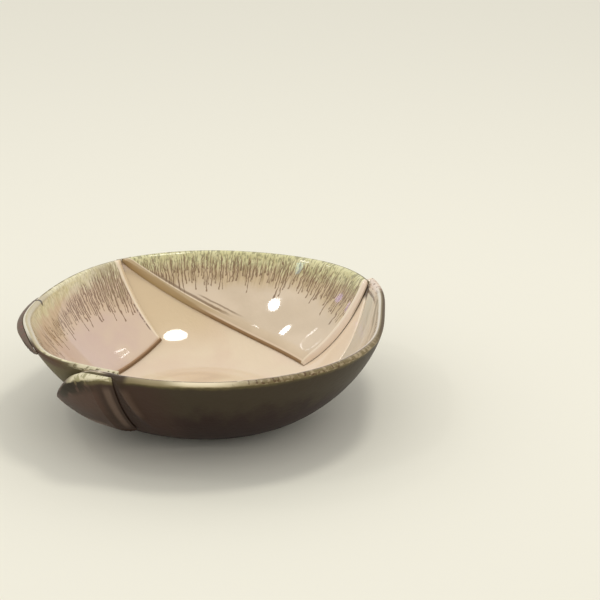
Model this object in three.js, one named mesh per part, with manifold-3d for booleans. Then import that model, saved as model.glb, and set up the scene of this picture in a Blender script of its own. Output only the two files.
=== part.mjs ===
// Round bowl built from clay slabs: each slab is cut from a flat sheet, then draped over the round form.
// Millimetres, +Z up, +X to the right, +Y to the back, origin at the centre of the flat foot.
import * as THREE from "three";
import { mergeVertices } from "three/addons/utils/BufferGeometryUtils.js";
import Module from "manifold-3d";

const wasm = await Module();
wasm.setup();

// Driving sizes
const slabThickness = 4.6;
const jointGap = 0.3;
const seamGap = 0.6;
const footRadius = 40;
const rimRadius = 120;
const bowlHeight = 65.4;
const floorSweep = 42.4;
const wallRise = 20;
const rimLean = 6;

// Sheet divisions: rings of facets up the wall, sectors round the bowl and steps along a curved edge
const wallRings = 14;
const sectors = 80;
const curveSteps = 24;
const mergeDistance = 1e-4;

// Outer face of the bowl: flat foot, then one curve from the foot to the rim
const wallCurve = new THREE.CubicBezierCurve(
  new THREE.Vector2(footRadius, 0),
  new THREE.Vector2(footRadius + floorSweep, 0),
  new THREE.Vector2(rimRadius - rimLean, bowlHeight - wallRise),
  new THREE.Vector2(rimRadius, bowlHeight),
);
const wallLength = wallCurve.getLength();
const sheetRadius = footRadius + wallLength;

// Rim corners that the potter pulled outwards or pressed in: where, how far and how wide
const rimPulls = [
  { angle: 39, out: 11.6, spread: 27 },
  { angle: 80, out: 1.9, spread: 26 },
  { angle: 156, out: -5.8, spread: 27 },
  { angle: 186, out: 1.9, spread: 12 },
  { angle: 218, out: 7.5, spread: 16 },
  { angle: 358, out: -6.1, spread: 23 },
];
const pullFade = 4;

// Seams where slab edges meet the rim, in degrees round the bowl
const rightSeamAngle = 28;
const backSeamAngle = 120.3;
const frontSeamAngle = 243.4;
const seamGapAngle = 0.3;
const fullTurnAngle = 360;

// Colours of the fired glaze
const mauveGlaze = 0xcdb7a4;
const tanGlaze = 0xdec6a9;
const darkGlaze = 0x493c32;

// A point on the flat sheet, from its share of the way to the rim and its angle
function onSheet(share, degrees) {
  const angle = THREE.MathUtils.degToRad(degrees);
  const reach = share * sheetRadius;
  return new THREE.Vector2(reach * Math.cos(angle), reach * Math.sin(angle));
}

// Starts an outline at a point of the sheet
function startAt(shape, point) {
  shape.moveTo(point.x, point.y);
}

// Adds a straight edge to a point of the sheet
function lineTo(shape, point) {
  shape.lineTo(point.x, point.y);
}

// Adds an edge that bows towards one point on its way to another
function bowTo(shape, bow, point) {
  shape.quadraticCurveTo(bow.x, bow.y, point.x, point.y);
}

// Outlines run this far past the rim, so that the sheet's own edge makes the rim
const pastRimShare = 1.1;

// Adds the rim side of an outline, counter-clockwise between two angles
function alongRim(shape, fromDegrees, toDegrees, share = pastRimShare) {
  lineTo(shape, onSheet(share, fromDegrees));
  const from = THREE.MathUtils.degToRad(fromDegrees);
  const to = THREE.MathUtils.degToRad(toDegrees);
  shape.absarc(0, 0, share * sheetRadius, from, to, false);
}

// Turns a geometry into a solid that can be cut
function solidFrom(geometry) {
  const bare = new THREE.BufferGeometry();
  bare.setAttribute("position", geometry.getAttribute("position"));
  bare.setIndex(geometry.getIndex());
  const merged = mergeVertices(bare, mergeDistance);
  const corners = merged.getIndex().array;
  const kept = [];
  for (let i = 0; i < corners.length; i += 3) {
    const [a, b, c] = corners.slice(i, i + 3);
    if (a !== b && b !== c && c !== a) kept.push(a, b, c);
  }
  // Each triangle is a face of its own, so that cutting keeps the facets where the sheet will bend
  const faces = Uint32Array.from({ length: kept.length / 3 }, (_, face) => face);
  const mesh = new wasm.Mesh({
    numProp: 3,
    vertProperties: new Float32Array(merged.getAttribute("position").array),
    triVerts: new Uint32Array(kept),
    faceID: faces,
  });
  return new wasm.Manifold(mesh);
}

// The rolled sheet: a flat round plate with facets where the bowl will bend, trimmed at its rim
function rolledSheet(rimShare) {
  const reaches = [footRadius];
  for (let ring = 1; ring < wallRings; ring++) {
    reaches.push(footRadius + (wallLength * ring) / wallRings);
  }
  reaches.push(rimShare * sheetRadius);
  const under = reaches.map((reach) => new THREE.Vector2(reach, 0));
  const over = reaches.map((reach) => new THREE.Vector2(reach, slabThickness));
  const outline = [
    new THREE.Vector2(0, 0),
    ...under,
    ...over.reverse(),
    new THREE.Vector2(0, slabThickness),
  ];
  const plate = new THREE.LatheGeometry(outline, sectors);
  plate.rotateX(Math.PI / 2);
  return solidFrom(plate);
}

// A cutter of the outline's shape, standing through the sheet
function cutter(shape) {
  const block = new THREE.ExtrudeGeometry(shape, {
    depth: 3 * slabThickness,
    bevelEnabled: false,
    curveSegments: curveSteps,
  });
  block.translate(0, 0, -slabThickness);
  return solidFrom(block);
}

// How far the rim is pulled at an angle, in millimetres outwards
function rimPull(degrees) {
  let pull = 0;
  for (const { angle, out, spread } of rimPulls) {
    const halfTurn = fullTurnAngle / 2;
    const away = THREE.MathUtils.euclideanModulo(degrees - angle + halfTurn, fullTurnAngle) - halfTurn;
    pull += out * Math.exp(-((away / spread) ** 2));
  }
  return pull;
}

// The outer face at a distance up the sheet: where it is and which way is inwards
function outerFace(reach) {
  if (reach <= footRadius) {
    return { at: new THREE.Vector2(reach, 0), inward: new THREE.Vector2(0, 1) };
  }
  const share = Math.min((reach - footRadius) / wallLength, 1);
  const along = wallCurve.getTangentAt(share);
  return {
    at: wallCurve.getPointAt(share),
    inward: new THREE.Vector2(-along.y, along.x),
  };
}

// Bends a flat piece over the form, so many slab layers in from the outer face
function drape(piece, layer) {
  const mesh = piece.getMesh();
  const flat = mesh.vertProperties;
  const bent = new Float32Array(flat.length);
  for (let i = 0; i < flat.length; i += 3) {
    const [x, y, height] = flat.slice(i, i + 3);
    const reach = Math.hypot(x, y);
    const angle = Math.atan2(y, x);
    const { at, inward } = outerFace(reach);
    const depth = layer * (slabThickness + jointGap) + height;
    const pull = rimPull(THREE.MathUtils.radToDeg(angle)) * (reach / sheetRadius) ** pullFade;
    const radius = at.x + inward.x * depth + pull;
    bent[i] = radius * Math.cos(angle);
    bent[i + 1] = radius * Math.sin(angle);
    bent[i + 2] = at.y + inward.y * depth;
  }
  const geometry = new THREE.BufferGeometry();
  geometry.setAttribute("position", new THREE.BufferAttribute(bent, 3));
  geometry.setIndex(new THREE.BufferAttribute(mesh.triVerts, 1));
  geometry.computeVertexNormals();
  return geometry;
}

// Layers of slab, counted inwards from the outer face of the bowl
const lapLayer = -1;
const outerLayer = 0;
const innerLayer = 1;

// The inner slabs lean over the outer ones, so they are trimmed a little to bring the rims level
const innerRimShare = 0.99;

const bowl = new THREE.Group();
bowl.name = "slab_bowl";

// Cuts one slab from the sheet, drapes it and adds it to the bowl under its name
function addSlab(name, shape, layer, color) {
  const sheet = rolledSheet(layer === innerLayer ? innerRimShare : 1);
  const piece = sheet.intersect(cutter(shape));
  const material = new THREE.MeshStandardMaterial({ color, roughness: 0.25, metalness: 0 });
  const mesh = new THREE.Mesh(drape(piece, layer), material);
  mesh.name = name;
  bowl.add(mesh);
}

// Back slab: a short bowed edge that covers the right seam, and a long one to the back seam
const backCorner = onSheet(0.512, 26);
const backStartAngle = 26.5;
const backStartBow = onSheet(0.762, 20.1);
const backEndAngle = backSeamAngle - seamGapAngle;
const backEndLow = onSheet(0.985, backEndAngle);
const backBow = onSheet(0.723, 75);
const backShape = new THREE.Shape();
startAt(backShape, backCorner);
bowTo(backShape, backStartBow, onSheet(1, backStartAngle));
alongRim(backShape, backStartAngle, backEndAngle);
lineTo(backShape, backEndLow);
bowTo(backShape, backBow, backCorner);
addSlab("back_slab", backShape, innerLayer, mauveGlaze);

// Left slab: a short edge at the back seam and a long one that sweeps round to the front seam
const leftCorner = onSheet(0.548, 112.4);
const leftStartAngle = backSeamAngle + seamGapAngle;
const leftTurn = onSheet(0.441, 151.2);
const leftBow = onSheet(0.592, 189.4);
const leftShape = new THREE.Shape();
startAt(leftShape, leftCorner);
lineTo(leftShape, onSheet(1, leftStartAngle));
alongRim(leftShape, leftStartAngle, frontSeamAngle);
lineTo(leftShape, onSheet(1, frontSeamAngle));
bowTo(leftShape, leftBow, leftTurn);
addSlab("left_slab", leftShape, innerLayer, mauveGlaze);

// Seam between the front and base slabs: over the floor from right to left, and up to the rim at the right
const floorSeam = [
  onSheet(0.42, 343),
  onSheet(0.5, 300),
  onSheet(0.575, 232),
  onSheet(0.7, 212),
];
const rightTurn = onSheet(0.674, 7.4);
const rightBow = onSheet(0.789, 11);
const rightTop = onSheet(1, rightSeamAngle);

// Front slab: the outer wall from under the front left lap, where it is cut down, round to the right seam
const frontEndLow = onSheet(0.846, 222);
const frontEndHigh = onSheet(0.907, 226.2);
const frontEndBow = onSheet(1.045, 234);
const frontShape = new THREE.Shape();
startAt(frontShape, floorSeam[0]);
floorSeam.slice(1).forEach((point) => lineTo(frontShape, point));
lineTo(frontShape, frontEndLow);
lineTo(frontShape, frontEndHigh);
bowTo(frontShape, frontEndBow, onSheet(1, frontSeamAngle));
alongRim(frontShape, frontSeamAngle, rightSeamAngle + fullTurnAngle);
lineTo(frontShape, rightTop);
bowTo(frontShape, rightBow, rightTurn);
addSlab("front_slab", frontShape, outerLayer, darkGlaze);

// Base slab: the floor, with one corner up the right seam and one up to the rim at the back
const armWideAngle = 4.6;
const armShortAngle = 0.6;
const backArm = { from: backSeamAngle - armWideAngle, to: backSeamAngle + armShortAngle };
const baseHemShare = 0.7;
const pastRightArm = onSheet(0.96, 34);
const besideRightArm = onSheet(baseHemShare, 50);
const beforeBackArm = onSheet(baseHemShare, 88);
const pastBackArm = onSheet(baseHemShare, 150);
const underLeftSlab = onSheet(baseHemShare, 185);
const offSeam = new THREE.Vector2(-seamGap, seamGap);
const besideSeam = (point) => point.clone().add(offSeam);
const baseShape = new THREE.Shape();
startAt(baseShape, besideSeam(floorSeam[0]));
lineTo(baseShape, besideSeam(rightTurn));
bowTo(baseShape, besideSeam(rightBow), besideSeam(rightTop));
lineTo(baseShape, pastRightArm);
lineTo(baseShape, besideRightArm);
lineTo(baseShape, beforeBackArm);
alongRim(baseShape, backArm.from, backArm.to, innerRimShare);
lineTo(baseShape, pastBackArm);
lineTo(baseShape, underLeftSlab);
floorSeam.slice(1).reverse().forEach((point) => lineTo(baseShape, besideSeam(point)));
addSlab("base_slab", baseShape, outerLayer, tanGlaze);

// Front left lap: a flap over the end of the front slab, its top edge falling away from the rim
const lapHemShare = 0.6;
const lapTop = onSheet(1, frontSeamAngle - seamGapAngle);
const lapBow = onSheet(1.05, 233.5);
const lapTip = onSheet(0.917, 225.6);
const lapTurn = onSheet(0.745, 205.5);
const lapLow = onSheet(lapHemShare, 212);
const lapHem = onSheet(lapHemShare, 229);
const lapHemRight = onSheet(lapHemShare, 241.3);
const lapShape = new THREE.Shape();
startAt(lapShape, lapTop);
bowTo(lapShape, lapBow, lapTip);
bowTo(lapShape, lapTurn, lapLow);
lineTo(lapShape, lapHem);
lineTo(lapShape, lapHemRight);
addSlab("front_left_lap", lapShape, lapLayer, darkGlaze);

// Left lap: a pointed strip outside the left slab, a little below its rim
const leftLapRim = { share: 0.985, from: 166, to: 214 };
const leftLapFoot = onSheet(0.87, 181);
const leftLapTail = onSheet(0.945, 204);
const leftLapShape = new THREE.Shape();
startAt(leftLapShape, leftLapFoot);
alongRim(leftLapShape, leftLapRim.from, leftLapRim.to, leftLapRim.share);
lineTo(leftLapShape, leftLapTail);
addSlab("left_lap", leftLapShape, outerLayer, darkGlaze);

export default bowl;
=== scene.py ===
import math

import bmesh
import bpy
from mathutils import Euler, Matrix, Quaternion, Vector, noise


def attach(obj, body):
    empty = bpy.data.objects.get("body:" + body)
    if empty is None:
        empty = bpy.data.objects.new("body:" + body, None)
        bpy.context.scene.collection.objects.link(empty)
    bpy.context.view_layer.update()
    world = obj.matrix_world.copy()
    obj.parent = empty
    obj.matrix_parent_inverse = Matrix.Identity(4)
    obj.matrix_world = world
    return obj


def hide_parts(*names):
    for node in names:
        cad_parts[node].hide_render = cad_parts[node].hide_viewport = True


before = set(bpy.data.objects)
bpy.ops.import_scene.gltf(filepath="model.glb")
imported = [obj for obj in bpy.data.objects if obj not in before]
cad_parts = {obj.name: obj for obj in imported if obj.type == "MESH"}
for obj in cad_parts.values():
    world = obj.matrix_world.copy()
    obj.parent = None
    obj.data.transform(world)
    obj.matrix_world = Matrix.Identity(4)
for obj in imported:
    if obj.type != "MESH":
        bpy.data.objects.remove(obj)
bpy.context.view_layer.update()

print("frame loaded:", sorted(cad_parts))

# the round form that every slab is draped over, metres and degrees
form = {
    "footRadius": 0.040,
    "rimRadius": 0.120,
    "height": 0.0654,
    "floorSweep": 0.0424,
    "wallRise": 0.020,
    "rimLean": 0.006,
    "slab": 0.0046,           # thickness of the rolled clay
    "gap": 0.0003,            # between two layers
    "pulls": [                # angle, outwards, spread
        (39, 0.0116, 27), (80, 0.0019, 26), (156, -0.0058, 27),
        (186, 0.0019, 12), (218, 0.0075, 16), (358, -0.0061, 23),
    ],
    "pullFade": 4,
    "wobble": 0.0004,         # hand-pressed unevenness
    "wobbleSize": 0.045,
    "wobbleLevel": 0.3,       # where the noise is cut
}
lapLayer, outerLayer, innerLayer = -1, 0, 1
millimetres = 1000            # in a metre
sides = ("start", "end", "lower", "upper")


def bezier(a, b, c, d, t):
    return a * (1 - t) ** 3 + b * 3 * t * (1 - t) ** 2 + c * 3 * t * t * (1 - t) + d * t ** 3


# outer face of the wall as points along its length, radius in x and height in z
wallSteps = 300
wallHandles = [
    Vector((form["footRadius"], 0, 0)),
    Vector((form["footRadius"] + form["floorSweep"], 0, 0)),
    Vector((form["rimRadius"] - form["rimLean"], 0, form["height"] - form["wallRise"])),
    Vector((form["rimRadius"], 0, form["height"])),
]
wallPoints = [bezier(*wallHandles, step / wallSteps) for step in range(wallSteps + 1)]
wallReach = [0.0]
for near, far in zip(wallPoints, wallPoints[1:]):
    wallReach.append(wallReach[-1] + (far - near).length)
sheetReach = form["footRadius"] + wallReach[-1]


def outerFace(reach):
    if reach <= form["footRadius"]:
        return Vector((reach, 0, 0)), Vector((0, 0, 1))
    along = min(reach - form["footRadius"], wallReach[-1])
    low, high = 0, wallSteps
    while high - low > 1:
        middle = (low + high) // 2
        low, high = (middle, high) if wallReach[middle] <= along else (low, middle)
    part = (along - wallReach[low]) / (wallReach[high] - wallReach[low])
    at = wallPoints[low].lerp(wallPoints[high], part)
    before = wallPoints[max(low - 1, 0)]
    after = wallPoints[min(high + 1, wallSteps)]
    rising = (wallPoints[high] - before).lerp(after - wallPoints[low], part).normalized()
    return at, Vector((-rising.z, 0, rising.x))


def pulledOut(degrees):
    total = 0
    for angle, out, spread in form["pulls"]:
        away = (degrees - angle + 180) % 360 - 180
        total += out * math.exp(-((away / spread) ** 2))
    return total


def drape(flat, layer):
    reach = math.hypot(flat.x, flat.y)
    turn = math.atan2(flat.y, flat.x)
    at, inward = outerFace(reach)
    rise = min(max((reach - form["footRadius"]) / form["footRadius"], 0), 1)
    spot = Vector((flat.x, flat.y, form["wobbleLevel"])) / form["wobbleSize"]
    uneven = form["wobble"] * rise * noise.noise(spot)
    depth = layer * (form["slab"] + form["gap"]) + flat.z + uneven
    pulled = pulledOut(math.degrees(turn)) * (reach / sheetReach) ** form["pullFade"]
    radius = at.x + inward.x * depth + pulled
    return Vector((radius * math.cos(turn), radius * math.sin(turn), at.z + inward.z * depth))


def onSheet(share, degrees):
    turn = math.radians(degrees)
    return Vector((math.cos(turn), math.sin(turn), 0)) * share * sheetReach


def edgePoint(edge, u):
    for kind, start, end, *spots in edge:
        if u <= end:
            break
    t = min(max((u - start) / (end - start), 0), 1)
    if kind == "arc":
        (share, degrees), (lastShare, lastDegrees) = spots
        return onSheet(share + (lastShare - share) * t, degrees + (lastDegrees - degrees) * t)
    points = [onSheet(*spot) for spot in spots]
    while len(points) > 1:      # line or bow, by repeated blending
        points = [near.lerp(far, t) for near, far in zip(points, points[1:])]
    return points[0]


# edge of a slab: steps over the rounding, and how square it is: 1 is a straight bevel, 2 is round
edgeSteps = 7
roundEdge, bevelEdge = 2.3, 1.35
mostRoll = 0.45               # share of the way across that one roll may take
crestFade, startFade = 4, 3   # how late on the way up the crest and the pressed start change
pressReach = 0.004            # how far from an edge pressing thins a slab, metres
paceAt, paceStep = 0.5, 0.05  # where the length of the upper edge is measured
weldReach = 1e-7
gridHalf = 0.5


# how far in and how far up a step of the rounding lies, both from 0 to 1
def edgeRoll(step, square):
    if step >= edgeSteps:
        return 1, 1
    turn = math.pi / 2 * step / edgeSteps
    return 1 - math.cos(turn) ** (2 / square), math.sin(turn) ** (2 / square)


# distance of a row of points across a slab, close together over the two rolled edges
def rowPlace(row, count, length, near, far):
    nearRoll, farRoll = min(near[0], mostRoll * length), min(far[0], mostRoll * length)
    if row <= edgeSteps:
        return edgeRoll(row, near[1])[0] * nearRoll
    if count - row <= edgeSteps:
        return length - edgeRoll(count - row, far[1])[0] * farRoll
    return nearRoll + (length - nearRoll - farRoll) * (row - edgeSteps) / (count - 2 * edgeSteps)


def rowRise(row, count, near, far):
    return edgeRoll(row, near[1])[1] if row * 2 < count else edgeRoll(count - row, far[1])[1]


def mix(first, second, part):
    return first + (second - first) * part


# a size that may change along a piece, given as places from 0 to 1 and the size there
def along(size, u):
    if not isinstance(size, list):
        return size
    for (start, first), (end, last) in zip(size, size[1:]):
        if u <= end:
            break
    return mix(first, last, min(max((u - start) / (end - start), 0), 1))


def rollAt(roll, u):
    return along(roll[0], u), roll[1]


# straight across from one edge to the other, unless the piece bows near an end
def acrossSlab(piece, u, low, high, part):
    middle = (low + high) / 2
    end = round(u)
    for bow, near in (("startBow", 1 - u), ("endBow", u)):
        if bow in piece:
            ends = edgePoint(piece["lower"], end) + edgePoint(piece["upper"], end)
            middle += (onSheet(*piece[bow]) - ends / 2) * near ** piece["bowFade"]
    return low.lerp(middle, part).lerp(middle.lerp(high, part), part)


# ridge that a thumb left on the outer face, running down from the rim
def ridgeHeight(piece, share, degrees):
    if "ridge" not in piece:
        return 0
    ridge = piece["ridge"]
    away = (degrees - ridge["angle"] - (1 - share) * ridge["slant"] + 180) % 360 - 180
    fade = min(max((share - ridge["foot"]) / (ridge["full"] - ridge["foot"]), 0), 1)
    return ridge["height"] * math.exp(-((away / ridge["spread"]) ** 2)) * fade


def cutSlab(name, piece):
    columns, rows = piece["columns"], piece["rows"]
    bm = bmesh.new()
    fall = bm.verts.layers.float.new("fall")         # mm below the rim, along the clay
    around = bm.verts.layers.float.new("around")     # mm round the rim
    inward = bm.verts.layers.float.new("inward")     # -1 outer face, 0 crest, 1 inner face
    # mm from each cut edge
    edges = [bm.verts.layers.float.new(side + "Edge") for side in sides]
    paceEnds = [edgePoint(piece["upper"], place) for place in (paceAt - paceStep, paceAt)]
    speed = (paceEnds[1] - paceEnds[0]).length / paceStep
    inner = piece["innerRolls"]
    for rolls, side in ((inner, 1), (piece["outerRolls"], -1)):
        grid = bmesh.ops.create_grid(bm, x_segments=columns, y_segments=rows, size=gridHalf)
        for vert in grid["verts"]:
            column = round((vert.co.x + gridHalf) * columns)
            row = round((vert.co.y + gridHalf) * rows)
            sideRise = rowRise(column, columns, rolls["start"], rolls["end"])
            upRise = rowRise(row, rows, rolls["lower"], rolls["upper"])
            # both faces share their points along the crest
            shared = rowPlace(column, columns, speed, inner["start"], inner["end"])
            own = rowPlace(column, columns, speed, rolls["start"], rolls["end"])
            u = mix(shared, own, upRise) / speed
            low, high = edgePoint(piece["lower"], u), edgePoint(piece["upper"], u)
            span = (high - low).length
            shared = rowPlace(row, rows, span, rollAt(inner["lower"], u), rollAt(inner["upper"], u))
            own = rowPlace(row, rows, span, rollAt(rolls["lower"], u), rollAt(rolls["upper"], u))
            up = mix(shared, own, sideRise)
            spot = acrossSlab(piece, u, low, high, up / span)
            distances = (u * speed, (1 - u) * speed, up, span - up)
            for layer, distance in zip(edges, distances):
                vert[layer] = millimetres * distance
            lowCrest, highCrest = piece["crest"]
            crest = mix(along(lowCrest, u), highCrest, (row / rows) ** crestFade) * form["slab"]
            vert[inward] = side * min(sideRise, upRise)
            rise = form["slab"] - crest if side > 0 else crest
            if "pressed" in piece and side > 0:           # thinner beside its lower edge
                rise *= 1 - along(piece["pressed"], u) * math.exp(-up / pressReach)
            if "pressedStart" in piece and side > 0:      # and beside its start
                pressed = mix(*piece["pressedStart"], (row / rows) ** startFade)
                rise *= 1 - pressed * math.exp(-u * speed / pressReach)
            vert.co = Vector((spot.x, spot.y, crest + rise * vert[inward]))
    bmesh.ops.remove_doubles(bm, verts=bm.verts[:], dist=weldReach)
    bmesh.ops.recalc_face_normals(bm, faces=bm.faces[:])
    for vert in bm.verts:
        reach = math.hypot(vert.co.x, vert.co.y)
        degrees = math.degrees(math.atan2(vert.co.y, vert.co.x))
        vert[fall] = millimetres * (sheetReach - reach)
        turned = math.radians((degrees - piece["turnFrom"]) % 360)
        vert[around] = millimetres * form["rimRadius"] * turned
        vert.co.z -= ridgeHeight(piece, reach / sheetReach, degrees) * max(-vert[inward], 0)
        vert.co = drape(vert.co, piece["layer"])
    for face in bm.faces:
        face.smooth = True
    mesh = bpy.data.meshes.new(name)
    bm.to_mesh(mesh)
    bm.free()
    slab = bpy.data.objects.new(name, mesh)
    bpy.context.scene.collection.objects.link(slab)
    return slab


# a screen colour, 0 to 255, as linear light
def paint(red, green, blue):
    def linear(level):
        level /= 255
        return level / 12.92 if level <= 0.04045 else ((level + 0.055) / 1.055) ** 2.4
    return linear(red), linear(green), linear(blue), 1


# a value on its way through a material's nodes
class Wire:
    def __init__(self, tree, socket=None):
        self.tree = tree
        self.socket = socket

    def node(self, kind, settings=None, inputs=None, output=0):
        made = self.tree.nodes.new(kind)
        for key, value in (settings or {}).items():
            setattr(made, key, value)
        for key, value in (inputs or {}).items():
            if isinstance(value, Wire):
                self.tree.links.new(value.socket, made.inputs[key])
            else:
                made.inputs[key].default_value = value
        return Wire(self.tree, made.outputs[output])

    def maths(self, operation, *values):
        return self.node("ShaderNodeMath", {"operation": operation}, dict(enumerate(values)))

    def __add__(self, other):
        return self.maths("ADD", self, other)

    def __radd__(self, other):
        return self.maths("ADD", other, self)

    def __sub__(self, other):
        return self.maths("SUBTRACT", self, other)

    def __rsub__(self, other):
        return self.maths("SUBTRACT", other, self)

    def __mul__(self, other):
        return self.maths("MULTIPLY", self, other)

    def __rmul__(self, other):
        return self.maths("MULTIPLY", other, self)

    def __floordiv__(self, other):
        return self.maths("FLOOR", self * (1 / other))

    def __abs__(self):
        return self.maths("ABSOLUTE", self)

    # 0 to 1 as the value goes from one level to another
    def ease(self, start, end):
        levels = {"Value": self, "From Min": start, "From Max": end}
        return self.node("ShaderNodeMapRange", {"interpolation_type": "SMOOTHSTEP"}, levels)

    # from one colour to another as the value goes from 0 to 1
    def blend(self, first, second):
        return self.node("ShaderNodeMix", {"data_type": "RGBA"}, {0: self, 6: first, 7: second}, 2)

    def attribute(self, name):
        return self.node("ShaderNodeAttribute", {"attribute_name": name}, output=2)

    # one chance from 0 to 1 for each whole number
    def chance(self, number):
        return self.node("ShaderNodeTexWhiteNoise", {"noise_dimensions": "1D"}, {"W": number})


# glaze shared by all slabs
glazeLook = {
    "bareClay": paint(176, 140, 108),
    "bareFrom": (105, 109),          # mm below the rim, where the foot starts
    "bareSide": (-0.4, -0.6),
    "turnsOver": (-0.2, 0.25),       # from the outside's colour to the inside's
    "shines": (0.2, 0.8),            # from the outside's coat to the inside's
    "insideCoat": 1.0,
    "roughness": 0.32,
    "outsideRoughness": 0.5,
    "clayRoughness": 0.8,
    "coatRoughness": 0.05,
    "coatIor": 1.6,
    "specular": 0.1,
    "peel": 0.24,
    "peelHeight": 0.001,             # metres
    "peelSize": 3.2, "peelPart": 0.8,
    "grainSize": 0.5, "grainPart": 0.6,
    "seedStep": 3.7,                 # from one noise to the next
    "noiseMiddle": 0.5,
    "markCloud": 6,                  # mm, for the uneven edge of a mark
}


# the attributes of a slab, and soft noise on the unrolled clay
class Clay:
    def __init__(self, wire, seed):
        self.wire = wire
        self.seed = seed
        names = ["fall", "around", "inward"] + [side + "Edge" for side in sides]
        self.at = {name: wire.attribute(name) for name in names}

    # mm round the rim and mm down the wall per cloud
    def clouds(self, wide, tall, detail=2.0):
        self.seed += glazeLook["seedStep"]
        across = self.at["around"] * (1 / wide)
        down = self.at["fall"] * (1 / tall) if tall else 0.0
        spot = self.wire.node("ShaderNodeCombineXYZ", {}, {"X": across, "Y": down, "Z": self.seed})
        spread = {"Vector": spot, "Scale": 1.0, "Detail": detail}
        return self.wire.node("ShaderNodeTexNoise", {}, spread)

    # the same, as mm to either side
    def swing(self, wide, tall, by, detail=2.0):
        return (self.clouds(wide, tall, detail) - glazeLook["noiseMiddle"]) * by

    # noise in space, mm per cloud, with no seam where the turn starts
    def patches(self, wide):
        self.seed += glazeLook["seedStep"]
        place = self.wire.node("ShaderNodeTexCoord", output="Object")
        spread = {"Vector": place, "W": self.seed, "Scale": millimetres / wide}
        return self.wire.node("ShaderNodeTexNoise", {"noise_dimensions": "4D"}, spread)

    # where a mark lies: one ramp after another on the distances, broken up by spots
    def where(self, mark):
        mask = mark.get("part", 1)
        wide = glazeLook["markCloud"]
        shift = self.swing(wide, wide, mark["uneven"]) if "uneven" in mark else 0
        for name, start, end in mark["where"]:
            value = self.at[name] if name == "inward" else self.at[name] + shift
            if name == "around" and "slant" in mark:
                value = value - self.at["fall"] * mark["slant"]
            mask = value.ease(start, end) * mask
        if "spots" in mark:
            wide, tall, low, high = mark["spots"]
            mask = self.clouds(wide, tall).ease(low, high) * mask
        return mask


# runs of glaze: mm, or shares of the reach, the lane and the other runs
runLook = {
    "lane": 2.7, "finerLane": 1.9,
    "bends": ((9, 14, 4.5), (2.4, 4, 2.2)),          # cloud across, cloud down and swing
    "length": 0.6, "shortest": 0.52,
    "spread": 0.5, "margin": 0.25,
    "drop": 0.24, "dropAt": (2.6, 0.5),              # thicker close to the tip
    "lumpCloud": (1.4, 3), "lumpLevel": 0.3, "lump": 0.5,
    "side": (-0.2, 0.2), "tip": (-0.1, 0.7),         # how softly a run ends
    "laterBy": 9, "fadeIn": 6,
    "otherDraw": 0.5,
    "finerReach": 0.85, "finerThick": 0.6, "finerPart": 0.85, "part": 0.88,
}


# one set of runs, each in a lane of its own with its own start and length
def runs(clay, reach, lane, thick, start):
    wire, fall = clay.wire, clay.at["fall"]
    around = clay.at["around"]
    for bend in runLook["bends"]:
        around = around + clay.swing(*bend)
    index = around // lane
    chance = wire.chance(index + clay.seed)
    place = wire.chance(index + clay.seed + runLook["otherDraw"])
    toTip = reach * (chance * runLook["length"] + runLook["shortest"]) - fall
    away = abs(around - index * lane - (place * runLook["spread"] + runLook["margin"]) * lane)
    lump = (clay.clouds(*runLook["lumpCloud"]) - runLook["lumpLevel"]) * runLook["lump"]
    half = toTip.ease(*runLook["dropAt"]) * runLook["drop"] + lump + thick
    begun = (fall - place * runLook["laterBy"]).ease(start, start + runLook["fadeIn"])
    return (half - away).ease(*runLook["side"]) * toTip.ease(*runLook["tip"]) * begun


# tones of the inside, mm: fades on the way down, and clouds across and down
insideLook = {
    "fieldPatch": 28, "fieldMix": (0.36, 0.64),
    "reachCloud": 26, "reachFine": (7, 0, 8),
    "besideSeam": (46, 6),
    "underFade": (-1, 11), "underPart": 0.8,
    "edge": (5, 6, 12),                              # cloud across, cloud down and swing
    "oliveFade": (19, 9), "olivePart": 0.9,
    "oliveCloud": (7, 8), "oliveMix": (0.3, 0.7),
    "shadeFrom": (2, 12), "shadeReach": 0.85, "shadeFade": (-3, 10),
    "shadeCloud": (1.5, 11, 3.0), "shadeMix": (0.42, 0.64),
    "mossFade": (17, 6), "mossCloud": (1.3, 3.2, 4.0), "mossMix": (0.46, 0.62),
}


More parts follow.
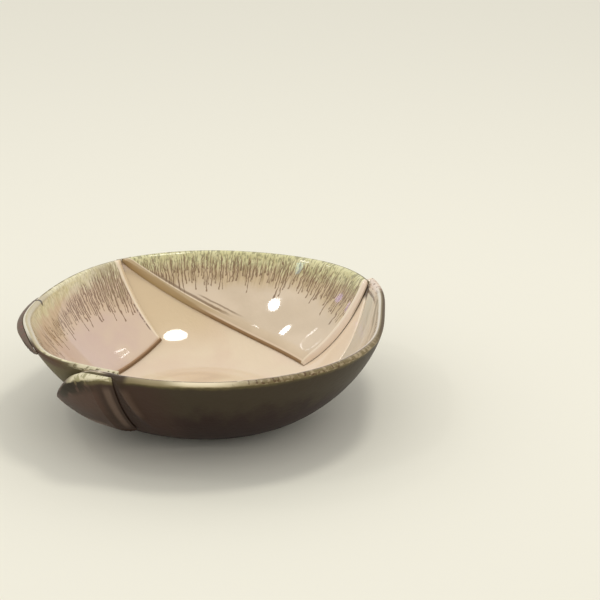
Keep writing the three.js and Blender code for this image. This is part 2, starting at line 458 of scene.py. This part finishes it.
def insideColour(clay, piece):
    tones = insideLook
    warm = clay.patches(tones["fieldPatch"]).ease(*tones["fieldMix"])
    field = warm.blend(piece["field"], piece["fieldWarm"])
    if "runs" not in piece:
        return field
    look = piece["runs"]
    fall = clay.at["fall"]
    broad = clay.swing(tones["reachCloud"], 0, look["uneven"])
    reach = broad + clay.swing(*tones["reachFine"]) + look["reach"]
    for side, longer in look["longer"].items():      # longer beside a seam
        reach = clay.at[side].ease(*tones["besideSeam"]) * longer + reach
    under = (reach - fall).ease(*tones["underFade"]) * tones["underPart"]
    colour = under.blend(field, look["under"])
    unevenFall = fall + clay.swing(*tones["edge"])
    pale = clay.clouds(*tones["oliveCloud"]).ease(*tones["oliveMix"])
    band = unevenFall.ease(*tones["oliveFade"]) * tones["olivePart"]
    colour = band.blend(colour, pale.blend(look["olive"], look["pale"]))
    streaks = clay.clouds(*tones["shadeCloud"]).ease(*tones["shadeMix"])
    ending = (reach * tones["shadeReach"] - fall).ease(*tones["shadeFade"])
    shade = fall.ease(*tones["shadeFrom"]) * ending * streaks
    colour = (shade * look["shadePart"]).blend(colour, look["shade"])
    flecks = clay.clouds(*tones["mossCloud"]).ease(*tones["mossMix"])
    mottle = unevenFall.ease(*tones["mossFade"]) * flecks
    colour = (mottle * look["mottle"]).blend(colour, look["moss"])
    start = look["start"]
    if "later" in look:      # they start lower on one side
        near, far, lower = look["later"]
        start = clay.at["around"].ease(near, far) * lower + start
    lines = runs(clay, reach, runLook["lane"], look["thick"], start)
    finerReach, finerThick = reach * runLook["finerReach"], look["thick"] * runLook["finerThick"]
    finer = runs(clay, finerReach, runLook["finerLane"], finerThick, start)
    lines = lines.maths("MAXIMUM", lines, finer * runLook["finerPart"])
    return (lines * runLook["part"]).blend(colour, look["run"])


# tones of the outside, mm
outsideLook = {
    "edge": (13, 20, 46, 3.0),                       # cloud across, cloud down, swing and detail
    "fade": (18, 44), "fadePart": 0.92,
    "toneCloud": (9, 14), "toneMix": (0.3, 0.7), "tonePart": 0.028,
}


def outsideColour(clay, piece):
    upper, lower = piece["outside"]
    boundary = clay.at["fall"] + clay.swing(*outsideLook["edge"])
    tone = clay.clouds(*outsideLook["toneCloud"]).ease(*outsideLook["toneMix"])
    faded = boundary.ease(*outsideLook["fade"]) * outsideLook["fadePart"]
    return (faded + tone * outsideLook["tonePart"]).blend(upper, lower)


def slabGlaze(name, piece):
    material = bpy.data.materials.new(name)
    material.use_nodes = True
    tree = material.node_tree
    shader = tree.nodes["Principled BSDF"]
    wire = Wire(tree)
    clay = Clay(wire, piece["seed"])
    fall, inward = clay.at["fall"], clay.at["inward"]
    colour = outsideColour(clay, piece)
    coat, rough = piece["outsideCoat"], glazeLook["outsideRoughness"]
    if "field" in piece:
        colour = inward.ease(*glazeLook["turnsOver"]).blend(colour, insideColour(clay, piece))
        isInside = inward.ease(*glazeLook["shines"])
        coat = isInside * (glazeLook["insideCoat"] - coat) + coat
        rough = isInside * (glazeLook["roughness"] - rough) + rough
    for mark in piece["marks"]:
        colour = clay.where(mark).blend(colour, mark["paint"])
    bare = fall.ease(*glazeLook["bareFrom"]) * inward.ease(*glazeLook["bareSide"])
    colour = bare.blend(colour, glazeLook["bareClay"])
    coat = (1 - bare) * coat
    if "dull" in piece:      # thin glaze where the slab was pressed
        coat = (1 - clay.where(piece["dull"])) * coat
    relief = clay.patches(glazeLook["peelSize"]) * glazeLook["peelPart"]
    relief = relief + clay.patches(glazeLook["grainSize"]) * bare * glazeLook["grainPart"]
    bump = wire.node("ShaderNodeBump", {}, {
        "Strength": glazeLook["peel"], "Distance": glazeLook["peelHeight"], "Height": relief,
    })
    rough = bare * (glazeLook["clayRoughness"] - glazeLook["outsideRoughness"]) + rough
    varying = {"Base Color": colour, "Roughness": rough, "Coat Weight": coat, "Normal": bump}
    for key, value in varying.items():
        tree.links.new(value.socket, shader.inputs[key])
    shader.inputs["Coat Roughness"].default_value = glazeLook["coatRoughness"]
    shader.inputs["Coat IOR"].default_value = glazeLook["coatIor"]
    shader.inputs["Specular IOR Level"].default_value = glazeLook["specular"]
    return material


def addPiece(name, piece, node):
    slab = cutSlab(name, piece)
    slab.data.materials.append(slabGlaze(name + "_glaze", piece))
    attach(slab, "root")
    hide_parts(node)
    print(name, len(slab.data.polygons), "faces")


innerRim = 0.99
rightSeam, backSeam, frontSeam, seamAngle = 28, 120.3, 243.4, 0.3
# dark outside glaze: olive above and plum below, the plum also painted darker as shade low on the
# wall
darkOutside = (paint(60, 51, 37), paint(42, 25, 21))
knifeCut = (0.001, roundEdge)

# lengths in the marks are mm, and a ramp goes from its first value to its second
onInside, onOutside = ("inward", 0, 0.3), ("inward", -0.3, -0.7)
insideAndCrest, outsideAndCrest = ("inward", -0.1, 0.05), ("inward", 0.45, 0.25)
offInside = ("inward", 0.95, 0.8)

backSlab = {
    "layer": innerLayer, "columns": 130, "rows": 64, "turnFrom": 0, "crest": (0.03, 0.35),
    "innerRolls": {
        "start": (0.0038, bevelEdge), "end": (0.002, roundEdge),
        "lower": ([(0, 0.001), (0.6, 0.0018), (0.84, 0.005), (1, 0.002)], bevelEdge),
        "upper": (0.0035, roundEdge),
    },
    "outerRolls": {
        "start": (0.0005, roundEdge), "end": knifeCut,
        "lower": knifeCut, "upper": (0.0015, roundEdge),
    },
    "startBow": (0.762, 20.1), "bowFade": 6,
    "pressed": [(0, 0.8), (0.55, 0.72), (0.8, 0.3), (1, 0)], "pressedStart": (0.45, 0.8),
    "dull": {"where": [("lowerEdge", 11, 7), ("fall", 36, 48)]},
    "lower": [("bow", 0, 1, (0.512, 26), (0.723, 75), (0.975, backSeam - seamAngle))],
    "upper": [("arc", 0, 1, (innerRim, 26.5), (innerRim, backSeam - seamAngle))],
    "field": paint(207, 188, 159), "fieldWarm": paint(217, 198, 170),
    "outside": darkOutside, "outsideCoat": 0.1,
    "runs": {
        "reach": 31, "uneven": 12, "longer": {"endEdge": 7, "startEdge": 9}, "start": 1,
        "thick": 0.3, "shadePart": 0.7, "mottle": 0.64,
        "under": paint(198, 174, 130), "shade": paint(144, 120, 73), "run": paint(114, 84, 46),
        "olive": paint(204, 199, 141), "pale": paint(220, 215, 163), "moss": paint(108, 100, 60),
    },
    "marks": [
        # brown lines where runs gather above the lower edge
        {"paint": paint(122, 96, 64), "part": 0.8, "uneven": 1.2, "where": [
            ("lowerEdge", 5.6, 6.4), ("lowerEdge", 8.6, 7.4), ("fall", 12, 22), ("fall", 54, 46),
            onInside]},
        {"paint": paint(122, 96, 64), "part": 0.7, "uneven": 1.0, "where": [
            ("lowerEdge", 9.4, 9.9), ("lowerEdge", 11.2, 10.6), ("fall", 34, 38), ("fall", 53, 48),
            onInside]},
        # bevels of the lower edge and the start: thin tan glaze over the edges, with painted shade
        # on the lower edge's face and painted light on the start's face
        {"paint": paint(186, 162, 120), "where": [
            ("lowerEdge", 5.6, 5.0), ("fall", 58, 38), insideAndCrest]},
        {"paint": paint(166, 136, 102), "where": [
            ("lowerEdge", 1.9, 1.3), ("fall", 40, 54), insideAndCrest]},
        {"paint": paint(230, 208, 182), "where": [("startEdge", 3.8, 3.2), insideAndCrest]},
        # light lines along the bevels: glaze breaking thin over the rounded edges, with a painted
        # highlight on them
        {"paint": paint(232, 214, 182), "part": 0.7, "where": [
            ("lowerEdge", 5.0, 5.3), ("lowerEdge", 6.3, 5.9), ("fall", 52, 40), onInside]},
        {"paint": paint(236, 216, 190), "part": 0.7, "where": [
            ("lowerEdge", 1.5, 1.9), ("lowerEdge", 3.2, 2.5), ("fall", 42, 56), onInside]},
        {"paint": paint(238, 222, 196), "part": 0.9, "where": [
            ("startEdge", 2.8, 3.4), ("startEdge", 5.4, 4.6), onInside]},
        # dark lines at the foot of the bevels: glaze pooled in the crease, with painted shade in it
        {"paint": paint(136, 110, 80), "part": 0.7, "where": [
            ("lowerEdge", 0.8, 0.3), ("fall", 30, 60)]},
        {"paint": paint(132, 110, 82), "part": 0.5, "where": [
            ("startEdge", 1.2, 0.4), ("fall", 30, 20)]},
        # broken olive line along the rim
        {"paint": paint(104, 94, 60), "part": 0.85, "spots": (5, 4, 0.36, 0.56), "where": [
            ("upperEdge", 1.6, 0.7), outsideAndCrest]},
    ],
    "seed": 1.0,
}
addPiece("back_slab_glazed", backSlab, "back_slab")

leftSlab = {
    "layer": innerLayer, "columns": 150, "rows": 66, "turnFrom": 0, "crest": (0.08, 0.35),
    "innerRolls": {
        "start": (0.006, bevelEdge), "end": (0.002, roundEdge),
        "lower": ([(0, 0.003), (0.3, 0.0016), (1, 0.0016)], bevelEdge),
        "upper": (0.0035, roundEdge),
    },
    "outerRolls": {
        "start": knifeCut, "end": knifeCut,
        "lower": knifeCut, "upper": (0.0015, roundEdge),
    },
    "pressed": [(0, 0.1), (0.2, 0.55), (0.34, 0.74), (1, 0.78)],
    "lower": [
        ("line", 0, 0.3, (0.548, 112.4), (0.441, 151.2)),
        ("bow", 0.3, 1, (0.441, 151.2), (0.592, 189.4), (0.965, frontSeam)),
    ],
    "upper": [("arc", 0, 1, (innerRim, backSeam + seamAngle), (innerRim, frontSeam))],
    "field": paint(208, 181, 162), "fieldWarm": paint(215, 191, 164),
    "outside": (paint(104, 95, 68), paint(93, 80, 60)), "outsideCoat": 0.0,
    "runs": {
        "reach": 42, "uneven": 14, "longer": {"startEdge": 6}, "start": 1,
        "later": (262, 345, 15),     # mm round the rim, and mm lower
        "thick": 0.4, "shadePart": 0.28, "mottle": 0.35,
        "under": paint(212, 186, 152), "shade": paint(160, 128, 92), "run": paint(122, 90, 60),
        "olive": paint(222, 213, 166), "pale": paint(232, 224, 187), "moss": paint(146, 134, 94),
    },
    "marks": [
        # streaks and one long run beside the start
        {"paint": paint(136, 116, 74), "part": 0.6, "spots": (1.5, 9, 0.36, 0.56), "where": [
            ("startEdge", 56, 14), ("fall", 40, 24), ("inward", 0.2, 0.5)]},
        {"paint": paint(104, 78, 54), "part": 0.85, "spots": (1.6, 2.6, 0.36, 0.5), "where": [
            ("startEdge", 8.2, 8.6), ("startEdge", 10.4, 9.8), ("fall", 36, 38), ("fall", 62, 58),
            onInside]},
        # bevel of the start, its face painted lighter where light falls on it; its light line, thin
        # glaze with a painted highlight; its dark foot, pooled glaze with painted shade
        {"paint": paint(234, 211, 175), "where": [("startEdge", 6.2, 5.6), insideAndCrest]},
        {"paint": paint(236, 218, 188), "part": 0.9, "where": [
            ("startEdge", 4.8, 5.4), ("startEdge", 8.4, 7.2), onInside]},
        {"paint": paint(158, 128, 90), "part": 0.9, "where": [("startEdge", 1.1, 0.5)]},
        # end of the bevel at the rim
        {"paint": paint(94, 86, 62), "where": [
            ("startEdge", 1.6, 0.8), ("inward", 0.3, 0.1), ("fall", 14, 8)]},
        # lower edge: pooled glaze with painted shade, on its face and in the crease at its foot
        {"paint": paint(176, 142, 110), "where": [("lowerEdge", 2.0, 1.5), insideAndCrest]},
        {"paint": paint(132, 104, 76), "where": [("lowerEdge", 1.3, 0.7)]},
        # rim: broken olive line, then paler towards the front, and a painted highlight on the outer
        # crest beside the left lap
        {"paint": paint(110, 98, 66), "part": 0.8, "spots": (5, 4, 0.36, 0.56), "where": [
            ("upperEdge", 1.6, 0.7), outsideAndCrest]},
        {"paint": paint(186, 172, 138), "part": 0.9, "where": [
            ("upperEdge", 5, 3), ("inward", 0, 0.2), ("around", 335, 350), ("around", 470, 435)]},
        # painted highlight on the outer crest
        {"paint": paint(222, 214, 192), "part": 0.9, "where": [
            ("upperEdge", 2.2, 1.4), ("inward", 0.2, 0), ("around", 345, 353),
            ("around", 440, 412)]},
        {"paint": paint(214, 204, 170), "part": 0.9, "spots": (3, 2, 0.36, 0.52), "where": [
            ("endEdge", 46, 30), ("upperEdge", 3, 2), ("inward", 0.8, 0.5)]},
        # nick across the rim, and a plum patch outside
        {"paint": paint(70, 58, 42), "where": [
            ("around", 355.4, 356.2), ("around", 358.6, 357.8), ("upperEdge", 7, 4)]},
        {"paint": paint(84, 62, 48), "part": 0.9, "uneven": 3, "where": [
            ("around", 424, 438), ("around", 482, 462), ("upperEdge", 9, 4),
            ("inward", -0.1, -0.4)]},
    ],
    "seed": 61.0,
}
addPiece("left_slab_glazed", leftSlab, "left_slab")

frontSlab = {
    "layer": outerLayer, "columns": 230, "rows": 60, "turnFrom": 180, "crest": (0.35, 0.35),
    "innerRolls": {
        "start": knifeCut, "end": (0.0025, roundEdge),
        "lower": knifeCut, "upper": (0.0026, roundEdge),
    },
    "outerRolls": {
        "start": knifeCut, "end": knifeCut,
        "lower": knifeCut, "upper": (0.0016, roundEdge),
    },
    "endBow": (0.789, 11), "bowFade": 8,
    "lower": [
        ("line", 0, 0.12, (0.7, 212), (0.575, 232)),
        ("line", 0.12, 0.5, (0.575, 232), (0.5, 300)),
        ("line", 0.5, 0.8, (0.5, 300), (0.42, 343)),
        ("line", 0.8, 1, (0.42, 343), (0.674, 7.4)),
    ],
    "upper": [
        ("line", 0, 0.04, (0.846, 222), (0.907, 226.2)),
        ("bow", 0.04, 0.16, (0.907, 226.2), (1.045, 234), (1, frontSeam)),
        ("arc", 0.16, 1, (1, frontSeam), (1, rightSeam + 360)),
    ],
    "ridge": {
        "angle": 245.2, "slant": 12.8, "spread": 1.7, "height": 0.0022, "foot": 0.64, "full": 0.86,
    },
    "field": paint(199, 185, 161), "fieldWarm": paint(207, 191, 165),
    "outside": darkOutside, "outsideCoat": 0.1,
    "marks": [
        # paler below the rim at the right, and painted shade beside the seam with the base
        {"paint": paint(205, 196, 172), "part": 0.75, "where": [
            ("upperEdge", 34, 12), ("inward", 0.1, 0.4), ("around", 340, 380)]},
        {"paint": paint(150, 128, 98), "part": 0.6, "where": [
            ("endEdge", 3.4, 0.8), ("inward", 0.2, 0.6)]},
        # rim: olive, broken by paler and darker glaze, and a painted highlight along the crest at
        # the front
        {"paint": paint(96, 86, 54), "part": 0.8, "uneven": 3, "where": [
            ("upperEdge", 5, 2), ("inward", 0.3, 0), ("around", 330, 290)]},
        {"paint": paint(124, 109, 76), "part": 0.9, "uneven": 1.6, "where": [
            ("upperEdge", 2.6, 1.6), ("inward", 0.6, 0.4), ("around", 200, 226)]},
        {"paint": paint(176, 158, 126), "part": 0.7, "spots": (3.4, 1.6, 0.44, 0.64), "where": [
            ("upperEdge", 2.8, 1.4), ("inward", 0.5, 0.3), ("around", 205, 226),
            ("around", 350, 310)]},
        {"paint": paint(192, 177, 142), "uneven": 1.4, "where": [
            ("upperEdge", 2.6, 0.9), outsideAndCrest, ("around", 138, 158), ("around", 228, 200)]},
        {"paint": paint(140, 126, 94), "part": 0.8, "uneven": 1.4, "where": [
            ("upperEdge", 3.2, 1.6), ("inward", 0.75, 0.5), ("around", 134, 142),
            ("around", 182, 168)]},
        # painted highlight along the crest
        {"paint": paint(228, 214, 180), "uneven": 1.0, "where": [
            ("upperEdge", 1.5, 0.8), outsideAndCrest, ("around", 160, 180), ("around", 212, 190)]},
        {"paint": paint(88, 72, 48), "part": 0.95, "uneven": 1.5, "where": [
            ("upperEdge", 4, 2.4), ("inward", 0.3, 0.1), ("around", 315, 345)]},
        {"paint": paint(112, 90, 60), "part": 0.9, "spots": (6, 4, 0.3, 0.48), "where": [
            ("upperEdge", 2.2, 1.4), ("inward", 0.28, 0.36), ("inward", 0.7, 0.58),
            ("around", 330, 300)]},
        {"paint": paint(86, 62, 42), "part": 0.85, "spots": (2.6, 2.6, 0.56, 0.64), "uneven": 2,
         "where": [
            ("upperEdge", 4, 2.5), ("around", 196, 226), ("around", 300, 270),
            ("inward", 0.5, 0.3)]},
        # thin, speckled glaze on the corner
        {"paint": paint(222, 202, 180), "part": 0.9, "uneven": 2.4, "where": [
            ("endEdge", 32, 16), ("upperEdge", 6.5, 3)]},
        {"paint": paint(134, 104, 78), "part": 0.8, "spots": (2.6, 1.3, 0.53, 0.66), "where": [
            ("endEdge", 40, 26), ("upperEdge", 7, 4)]},
        {"paint": paint(104, 82, 62), "part": 0.85, "spots": (5, 3, 0.34, 0.5), "where": [
            ("endEdge", 38, 30), ("upperEdge", 5.4, 6.0), ("upperEdge", 7.8, 7.2),
            ("inward", 0.5, 0.8)]},
        # darker reddish glaze beside the lap, painted shade in the groove, glaze pooled in the
        # notch at the rim, and a painted highlight along the ridge
        {"paint": paint(62, 43, 34), "part": 0.85, "slant": 0.18, "where": [
            ("around", 176, 146), ("fall", 2.5, 6), onOutside]},
        {"paint": paint(50, 35, 27), "part": 0.9, "slant": 0.18, "where": [
            ("around", 139, 134), ("fall", 1.5, 4), ("fall", 62, 46), onOutside]},
        {"paint": paint(56, 42, 30), "part": 0.9, "where": [
            ("around", 143, 138.5), ("around", 122, 130), ("upperEdge", 7, 4),
            ("inward", 0.7, 0.5)]},
        {"paint": paint(92, 73, 60), "part": 0.6, "slant": 0.18, "where": [
            ("around", 132.5, 136), ("around", 141, 137.5), ("fall", 5, 11), ("fall", 40, 28),
            onOutside]},
        # end under the lap
        {"paint": darkOutside[0], "where": [("startEdge", 26, 18), offInside]},
    ],
    "seed": 121.0,
}
addPiece("front_slab_glazed", frontSlab, "front_slab")

baseHem = 0.7
baseSlab = {
    "layer": outerLayer, "columns": 160, "rows": 90, "turnFrom": 270,
    "crest": ([(0, 0.4), (0.64, 0.4), (0.7, 0.9), (0.84, 0.9), (0.9, 0.4), (1, 0.4)], 0.4),
    "innerRolls": {
        "start": (0.002, roundEdge), "end": (0.002, roundEdge),
        "lower": (0.002, roundEdge), "upper": knifeCut,
    },
    "outerRolls": {
        "start": knifeCut, "end": knifeCut,
        "lower": ([
            (0, 0.001), (0.64, 0.001), (0.7, 0.02), (0.84, 0.02), (0.9, 0.001), (1, 0.001),
        ], 1.5),
        "upper": knifeCut,
    },
    "lower": [
        ("bow", 0, 0.18, (1, rightSeam + 0.4), (0.789, 11.4), (0.674, 7.9)),
        ("line", 0.18, 0.3, (0.674, 7.9), (0.42, 343.6)),
        ("line", 0.3, 0.42, (0.42, 343.6), (0.497, 300)),
        ("line", 0.42, 0.6, (0.497, 300), (0.572, 231.8)),
        ("line", 0.6, 0.68, (0.572, 231.8), (0.698, 211.7)),
        ("line", 0.68, 0.74, (0.698, 211.7), (baseHem, 185)),
        ("line", 0.74, 0.82, (baseHem, 185), (baseHem, 150)),
        ("line", 0.82, 1, (baseHem, 150), (innerRim, backSeam + 0.6)),
    ],
    "upper": [
        ("line", 0, 0.36, (0.96, 34), (baseHem, 50)),
        ("line", 0.36, 0.74, (baseHem, 50), (baseHem, 88)),
        ("line", 0.74, 1, (baseHem, 88), (innerRim, backSeam - 4.6)),
    ],
    "field": paint(224, 200, 170), "fieldWarm": paint(228, 208, 176),
    "outside": darkOutside, "outsideCoat": 0.1,
    "marks": [
        # tan at the back left, paler at the right, lightened further as painted light in the hollow
        # beside the back slab's edge
        {"paint": paint(214, 190, 149), "part": 0.9, "where": [
            ("around", 330, 390), ("fall", 84, 54), onInside]},
        {"paint": paint(231, 209, 180), "part": 0.95, "where": [
            ("around", 310, 280), ("fall", 84, 70), onInside]},
        # pale rim at the back left, and a painted highlight along the right seam on the base's
        # rounded edge
        {"paint": paint(228, 206, 182), "part": 0.8, "where": [
            ("fall", 13, 7), ("around", 330, 390), ("inward", -0.3, 0)]},
        {"paint": paint(242, 224, 196), "part": 0.9, "where": [
            ("lowerEdge", 3.2, 2), ("inward", 0.1, 0.4), ("around", 100, 130),
            ("around", 310, 280)]},
        # brown line below the right corner
        {"paint": paint(90, 68, 48), "part": 0.9, "where": [
            ("fall", 14, 10), ("fall", 4, 6), ("around", 300, 280), onInside]},
        # hem that stays outside
        {"paint": darkOutside[0], "where": [("upperEdge", 2.4, 1.2), offInside]},
        {"paint": darkOutside[0], "where": [
            ("lowerEdge", 4, 2), offInside, ("around", 420, 430), ("around", 640, 620)]},
        # olive end at the rim
        {"paint": paint(124, 109, 76), "where": [("endEdge", 3, 1.5), ("inward", 0.5, 0.3)]},
    ],
    "seed": 181.0,
}
addPiece("base_slab_glazed", baseSlab, "base_slab")

frontLeftLap = {
    "layer": lapLayer, "columns": 100, "rows": 64, "turnFrom": 180, "crest": (0.93, 0.93),
    "innerRolls": {side: knifeCut for side in sides},
    "outerRolls": {
        "start": (0.015, 0.95), "end": (0.004, 2.0), "lower": (0.008, 1.8), "upper": (0.0026, 2.0),
    },
    "lower": [
        ("line", 0, 0.5, (0.6, 241.3), (0.6, 229)),
        ("line", 0.5, 0.8, (0.6, 229), (0.6, 212)),
        ("bow", 0.8, 1, (0.6, 212), (0.671, 208.4), (0.743, 212.9)),
    ],
    "upper": [
        ("bow", 0, 0.75, (1, frontSeam - seamAngle), (1.05, 233.5), (0.917, 225.6)),
        ("bow", 0.75, 1, (0.917, 225.6), (0.833, 218.2), (0.767, 214.4)),
    ],
    "outside": (paint(80, 60, 50), paint(66, 50, 41)), "outsideCoat": 0.12,
    "marks": [
        # painted shade in the fold and a painted highlight on the ridge beside the groove
        {"paint": paint(56, 42, 33), "part": 0.8, "where": [
            ("startEdge", 14, 9), ("upperEdge", 1.5, 4)]},
        {"paint": paint(116, 97, 84), "part": 0.6, "where": [
            ("startEdge", 1.6, 4.2), ("startEdge", 9, 6), ("upperEdge", 6, 13),
            ("lowerEdge", 2, 12)]},
        # rim: olive wash, pale edge and spots
        {"paint": paint(112, 102, 70), "part": 0.85, "uneven": 5, "where": [
            ("upperEdge", 7, 3.5), ("around", 97, 115)]},
        {"paint": paint(216, 206, 172), "uneven": 2.8, "where": [
            ("upperEdge", 3.4, 1.6), ("around", 98, 110)]},
        {"paint": paint(150, 142, 102), "part": 0.8, "spots": (3.4, 2.2, 0.48, 0.6), "where": [
            ("upperEdge", 4, 3), ("around", 98, 108)]},
        # dark runs below the rim
        {"paint": paint(44, 36, 23), "part": 0.95, "uneven": 6, "spots": (3, 8, 0.34, 0.44),
         "where": [
            ("upperEdge", 15, 9), ("upperEdge", 1.4, 3.0), ("around", 84, 92),
            ("around", 126, 110)]},
        {"paint": paint(38, 30, 18), "part": 0.95, "uneven": 4, "where": [
            ("around", 94, 98), ("around", 110, 105), ("upperEdge", 9, 6),
            ("upperEdge", 1.6, 3.0)]},
        # painted reflection of the pale floor along the lower border and the end
        {"paint": paint(154, 134, 120), "part": 0.5, "where": [
            ("lowerEdge", 15, 9), ("startEdge", 14, 34)]},
        {"paint": paint(154, 134, 120), "part": 0.5, "where": [
            ("endEdge", 10, 4), ("upperEdge", 4, 10)]},
    ],
    "seed": 241.0,
}
addPiece("front_left_lap_glazed", frontLeftLap, "front_left_lap")

leftLap = {
    "layer": outerLayer, "columns": 80, "rows": 36, "turnFrom": 0, "crest": (0.85, 0.85),
    "innerRolls": {side: (0.0005, roundEdge) for side in sides},
    "outerRolls": {
        "start": (0.045, 1.2), "end": (0.056, 0.7), "lower": (0.012, 1.4), "upper": (0.0025, 2.0),
    },
    "lower": [
        ("line", 0, 0.31, (0.975, 166.3), (0.87, 181)),
        ("line", 0.31, 0.79, (0.87, 181), (0.945, 204)),
        ("line", 0.79, 1, (0.945, 204), (0.975, 213.6)),
    ],
    "upper": [("arc", 0, 1, (0.985, 166), (0.985, 214))],
    "outside": (paint(98, 80, 61), paint(78, 62, 48)), "outsideCoat": 0.15,
    "marks": [
        # red-brown spots
        {"paint": paint(120, 74, 62), "part": 0.7, "spots": (3, 3, 0.56, 0.66), "where": [
            ("upperEdge", 9, 5), ("startEdge", 30, 36), ("endEdge", 36, 42)]},
    ],
    "seed": 301.0,
}
addPiece("left_lap_glazed", leftLap, "left_lap")

# pale floor that runs out of sight
floorLook = {"size": 12.0, "colour": paint(232, 228, 211), "roughness": 0.9, "specular": 0.0}
floorMesh = bpy.data.meshes.new("floor")
bm = bmesh.new()
bmesh.ops.create_grid(bm, x_segments=1, y_segments=1, size=floorLook["size"] / 2)
bm.to_mesh(floorMesh)
bm.free()
floor = bpy.data.objects.new("floor", floorMesh)
bpy.context.scene.collection.objects.link(floor)
floorPaint = bpy.data.materials.new("floor_paint")
floorPaint.use_nodes = True
floorShader = floorPaint.node_tree.nodes["Principled BSDF"]
floorShader.inputs["Base Color"].default_value = floorLook["colour"]
floorShader.inputs["Roughness"].default_value = floorLook["roughness"]
floorShader.inputs["Specular IOR Level"].default_value = floorLook["specular"]
floorMesh.materials.append(floorPaint)

# soft studio light: an even room, and panels that the glaze reflects
lightLook = {"sky": (0.98, 0.98, 1.0, 1), "skyStrength": 0.93, "aimAt": (0, 0, 0.03)}
white = (1.0, 1.0, 1.0)
world = bpy.data.worlds.new("studio")
bpy.context.scene.world = world
world.use_nodes = True
background = world.node_tree.nodes["Background"]
background.inputs["Color"].default_value = lightLook["sky"]
background.inputs["Strength"].default_value = lightLook["skyStrength"]

lamps = {
    "overhead_panel": {
        "at": (0.262, 0.053, 1.185), "size": (0.27, 0.22), "turn": 119,
        "power": 2.5, "colour": (1.0, 0.99, 0.96),
    },
    "left_panel": {
        "at": (-0.583, -0.139, 1.036), "size": (0.16, 0.06), "turn": -3,
        "power": 0.5, "colour": white,
    },
    "left_panel_low": {
        "at": (-0.619, 0.294, 0.994), "size": (0.085, 0.055), "turn": 20,
        "power": 0.25, "colour": white,
    },
    "left_strip": {
        "at": (-0.681, 0.614, 0.776), "size": (0.1, 0.02), "turn": 100,
        "power": 0.03, "colour": white,
    },
    "back_strip": {
        "at": (0.599, 0.578, 0.801), "size": (0.19, 0.008), "turn": 125,
        "power": 0.035, "colour": white,
    },
    "front_strip": {
        "at": (-0.006, -0.445, 1.11), "size": (0.17, 0.012), "turn": 147,
        "power": 0.04, "colour": white,
    },
    "blue_glint": {
        "at": (-0.664, -0.337, 0.912), "size": (0.18, 0.06), "turn": 143,
        "power": 0.09, "colour": (0.5, 0.9, 1.0),
    },
    "violet_glint": {
        "at": (-0.823, 0.607, 0.607), "size": (0.14, 0.035), "turn": 45,
        "power": 0.04, "colour": (0.62, 0.45, 1.0),
    },
}
for name, lamp in lamps.items():
    light = bpy.data.lights.new(name, "AREA")
    light.shape = "ELLIPSE"
    light.size, light.size_y = lamp["size"]
    light.energy = lamp["power"]
    light.color = lamp["colour"]
    holder = bpy.data.objects.new(name, light)
    holder.location = lamp["at"]
    aim = (Vector(lightLook["aimAt"]) - holder.location).to_track_quat("-Z", "Y")
    holder.rotation_euler = (aim @ Quaternion((0, 0, 1), math.radians(lamp["turn"]))).to_euler()
    bpy.context.scene.collection.objects.link(holder)
print("lamps", len(lamps))

# camera at the photo's viewing angle: where the rim's centre falls in a picture of 600 by 600
view = {
    "elevation": 21.1, "distance": 1.3, "lens": 122.15,
    "rimCentreAt": (204.8, 311.3), "picture": 600,
}
cameraData = bpy.data.cameras.new("camera")
cameraData.lens = view["lens"]
camera = bpy.data.objects.new("camera", cameraData)
bpy.context.scene.collection.objects.link(camera)
tilt = math.radians(view["elevation"])
rimCentre = Vector((0, 0, form["height"]))
camera.location = rimCentre + Vector((0, -math.cos(tilt), math.sin(tilt))) * view["distance"]
focal = view["lens"] / cameraData.sensor_width * view["picture"]
middle = view["picture"] / 2
across, down = view["rimCentreAt"]
seenAt = Vector(((across - middle) / focal, (middle - down) / focal, -1))
level = Euler((math.pi / 2 - tilt, 0, 0)).to_quaternion()
camera.rotation_mode = "QUATERNION"
camera.rotation_quaternion = level @ seenAt.rotation_difference(Vector((0, 0, -1)))
bpy.context.scene.camera = camera
bpy.context.scene.view_settings.view_transform = "Standard"
